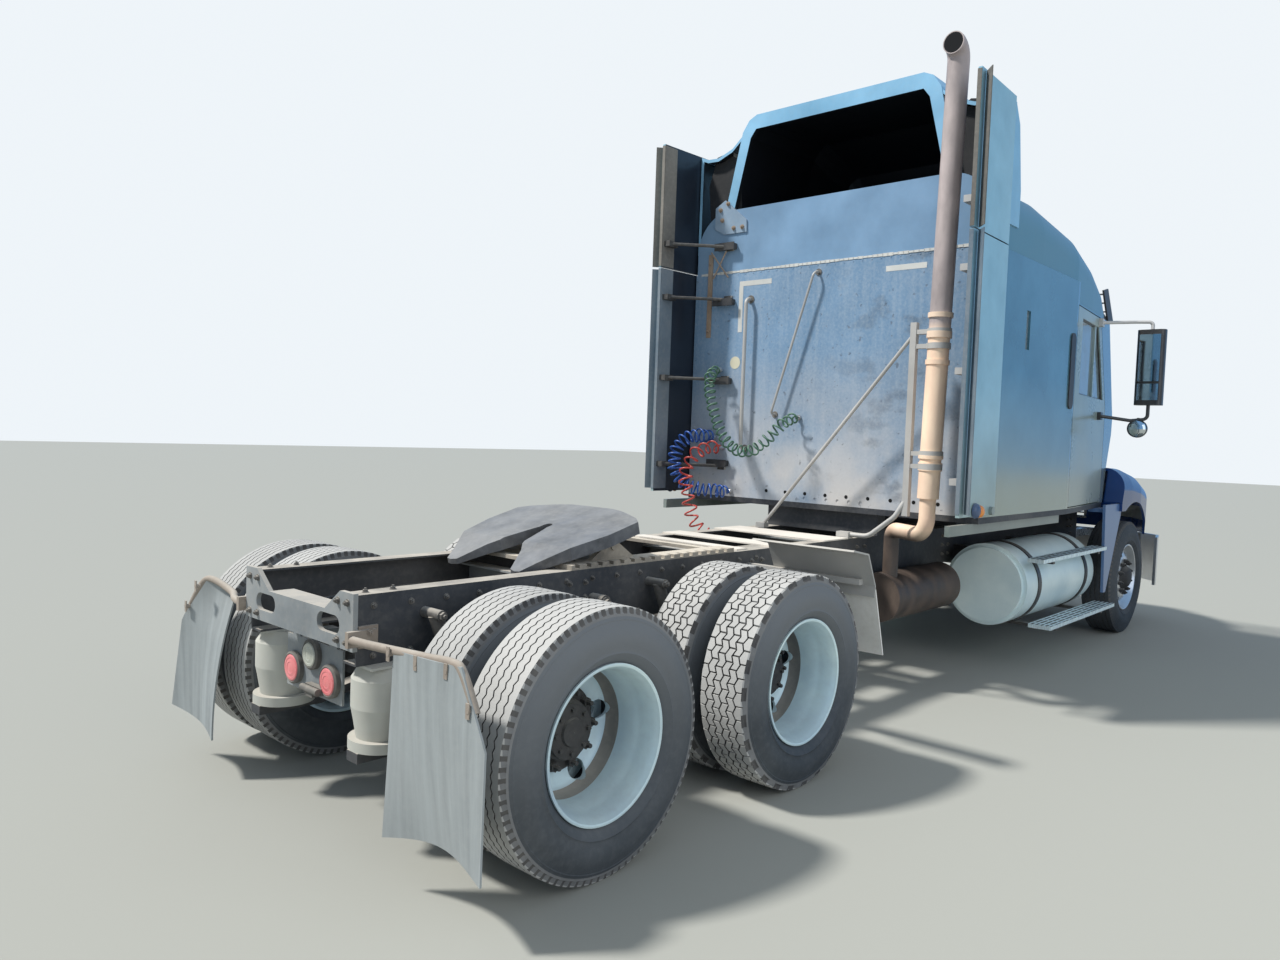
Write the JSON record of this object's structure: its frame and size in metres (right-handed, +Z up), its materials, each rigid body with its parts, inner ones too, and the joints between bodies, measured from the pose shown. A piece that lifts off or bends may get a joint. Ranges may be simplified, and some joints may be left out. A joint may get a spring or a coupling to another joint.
{
  "type": "semi truck tractor unit",
  "caption": "Conventional road tractor with a raised-roof sleeper cab, tandem twin-wheel drive axles, a fifth wheel, side fuel tanks and an upright exhaust stack.",
  "frame": {"origin": "on the ground below the middle of the truck's length and width", "axes": "+X forward along the truck, +Y to the truck's left, +Z up"},
  "size_m": [8.68, 3.03, 4.1259],
  "materials": {
    "cab_blue": "gloss",
    "hood_blue": "gloss",
    "fairing_grey": "satin",
    "extender_blue": "satin",
    "wall_blue": "satin",
    "frame_black": "matte",
    "coupling_iron": "matte",
    "deck_tan": "matte",
    "wheel_silver": "satin",
    "tyre_black": "matte",
    "tank_aluminium": "satin",
    "stack_steel": "satin",
    "flap_grey": "matte",
    "bag_rubber": "matte",
    "mirror_black": "matte",
    "visor_dark": "satin",
    "window_glass": "polished",
    "lamp_red": "gloss",
    "lamp_clear": "gloss",
    "grille_chrome": "polished",
    "engine_iron": "matte",
    "dash_grey": "matte",
    "seat_fabric": "matte",
    "hose_green": "satin",
    "hose_blue": "satin",
    "hose_red": "satin"
  },
  "bodies": {
    "chassis": {"air_springs": "bag_rubber", "back_wall_brackets": "frame_black", "bumper": "hood_blue", "cab_back_wall": "wall_blue", "cab_floor": "frame_black", "cab_front": "cab_blue", "cab_glass": "window_glass", "cab_roof": "cab_blue", "cab_sides": "cab_blue", "crossmembers": "frame_black", "dashboard": "dash_grey", "deck_plates": "deck_tan", "driveline": "frame_black", "engine": "engine_iron", "exhaust": "stack_steel", "fifth_wheel_base": "coupling_iron", "flap_hangers": "frame_black", "frame_rails": "frame_black", "fuel_tanks": "tank_aluminium", "hose_blue": "hose_blue", "hose_green": "hose_green", "hose_red": "hose_red", "lamps": "lamp_red", "mud_flaps": "flap_grey", "quarter_fenders": "flap_grey", "roof_fairing": "fairing_grey", "seats": "seat_fabric", "side_extenders": "extender_blue", "skirts": "hood_blue", "steer_axle": "frame_black", "steps": "tank_aluminium", "sun_visor": "visor_dark", "suspension": "frame_black", "tank_brackets": "frame_black"},
    "steer_left": {"knuckle_left": "coupling_iron"},
    "steer_wheel_left": {"steer_tyre_left": "tyre_black", "steer_rim_left": "wheel_silver"},
    "drive_wheel_front_left": {"drive_tyres_front_left": "tyre_black", "drive_rims_front_left": "wheel_silver"},
    "drive_wheel_rear_left": {"drive_tyres_rear_left": "tyre_black", "drive_rims_rear_left": "wheel_silver"},
    "door_body_left": {"door_left": "cab_blue", "door_glass_left": "window_glass", "mirror_left": "mirror_black"},
    "steer_right": {"knuckle_right": "coupling_iron"},
    "steer_wheel_right": {"steer_tyre_right": "tyre_black", "steer_rim_right": "wheel_silver"},
    "drive_wheel_front_right": {"drive_tyres_front_right": "tyre_black", "drive_rims_front_right": "wheel_silver"},
    "drive_wheel_rear_right": {"drive_tyres_rear_right": "tyre_black", "drive_rims_rear_right": "wheel_silver"},
    "door_body_right": {"door_right": "cab_blue", "door_glass_right": "window_glass", "mirror_right": "mirror_black"},
    "tie_rod_body": {"tie_rod": "frame_black"},
    "hood_body": {"hood": "hood_blue", "grille": "grille_chrome", "headlamps": "lamp_clear"},
    "fifth_wheel": {"fifth_wheel_plate": "coupling_iron"}
  },
  "joints": [
    {"name": "steer_left_turn", "type": "hinge", "parent": "chassis", "child": "steer_left", "pos_m": [3.058, 0.85, 0.505], "axis": [0, 0, 1], "range_deg": [-35, 35]},
    {"name": "steer_right_turn", "type": "hinge", "parent": "chassis", "child": "steer_right", "pos_m": [3.058, -0.85, 0.505], "axis": [0, 0, 1], "range_deg": [-35, 35]},
    {"name": "tie_rod_turn", "type": "hinge", "parent": "steer_left", "child": "tie_rod_body", "pos_m": [2.868, 0.784, 0.4], "axis": [0, 0, 1], "range_deg": [-35, 35]},
    {"name": "steer_wheel_left_spin", "type": "hinge", "parent": "steer_left", "child": "steer_wheel_left", "pos_m": [3.058, 1.035, 0.505], "axis": [0, 1, 0], "continuous": true},
    {"name": "drive_wheel_rear_left_spin", "type": "hinge", "parent": "chassis", "child": "drive_wheel_rear_left", "pos_m": [-3.71, 0.915, 0.505], "axis": [0, 1, 0], "continuous": true},
    {"name": "drive_wheel_front_left_spin", "type": "hinge", "parent": "chassis", "child": "drive_wheel_front_left", "pos_m": [-2.39, 0.915, 0.505], "axis": [0, 1, 0], "continuous": true},
    {"name": "door_left_hinge", "type": "hinge", "parent": "chassis", "child": "door_body_left", "pos_m": [2.494, 1.05866, 1.7], "axis": [0, 0, -1], "range_deg": [0, 70]},
    {"name": "steer_wheel_right_spin", "type": "hinge", "parent": "steer_right", "child": "steer_wheel_right", "pos_m": [3.058, -1.035, 0.505], "axis": [0, 1, 0], "continuous": true},
    {"name": "drive_wheel_rear_right_spin", "type": "hinge", "parent": "chassis", "child": "drive_wheel_rear_right", "pos_m": [-3.71, -0.915, 0.505], "axis": [0, 1, 0], "continuous": true},
    {"name": "drive_wheel_front_right_spin", "type": "hinge", "parent": "chassis", "child": "drive_wheel_front_right", "pos_m": [-2.39, -0.915, 0.505], "axis": [0, 1, 0], "continuous": true},
    {"name": "door_right_hinge", "type": "hinge", "parent": "chassis", "child": "door_body_right", "pos_m": [2.494, -1.05866, 1.7], "axis": [0, 0, 1], "range_deg": [0, 70]},
    {"name": "hood_tilt", "type": "hinge", "parent": "chassis", "child": "hood_body", "pos_m": [4.24, 0, 0.872], "axis": [0, 1, 0], "range_deg": [0, 70]},
    {"name": "fifth_wheel_tilt", "type": "hinge", "parent": "chassis", "child": "fifth_wheel", "pos_m": [-2.85, 0, 1.085], "axis": [0, 1, 0], "range_deg": [0, 18]}
  ],
  "couplings": [
    {"joint": "steer_right_turn", "follows": "steer_left_turn", "ratio": 1},
    {"joint": "tie_rod_turn", "follows": "steer_left_turn", "ratio": -1}
  ]
}
